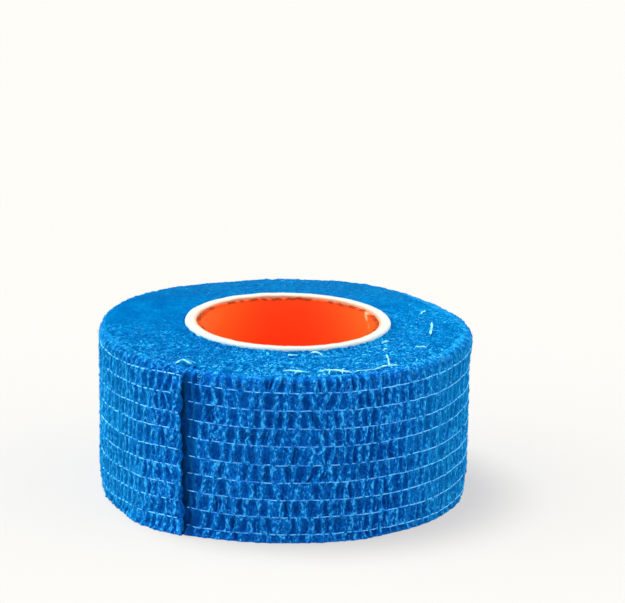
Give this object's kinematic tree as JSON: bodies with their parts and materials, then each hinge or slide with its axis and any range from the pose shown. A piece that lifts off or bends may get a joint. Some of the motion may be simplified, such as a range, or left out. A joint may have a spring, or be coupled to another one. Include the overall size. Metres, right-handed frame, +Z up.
{
  "type": "cohesive bandage roll",
  "caption": "Short roll of crinkled self-sticking elastic bandage, wound on an open paper core, with the cut end of the cloth lying down its side.",
  "frame": {"origin": "on the surface the roll stands on, under the middle of its outline", "axes": "+Z up along the core, -Y towards the front, where the cut end lies a little to the left (-X)"},
  "size_m": [0.0571, 0.0568, 0.0255],
  "materials": {
    "bandage_cloth": "matt crinkled nonwoven with fine white elastic threads",
    "core_board": "plain white board, cut edge",
    "core_paper": "smooth orange paper"
  },
  "bodies": {
    "root": {"bandage_roll": "bandage_cloth", "core_tube": "core_board", "core_lining": "core_paper"}
  },
  "joints": []
}
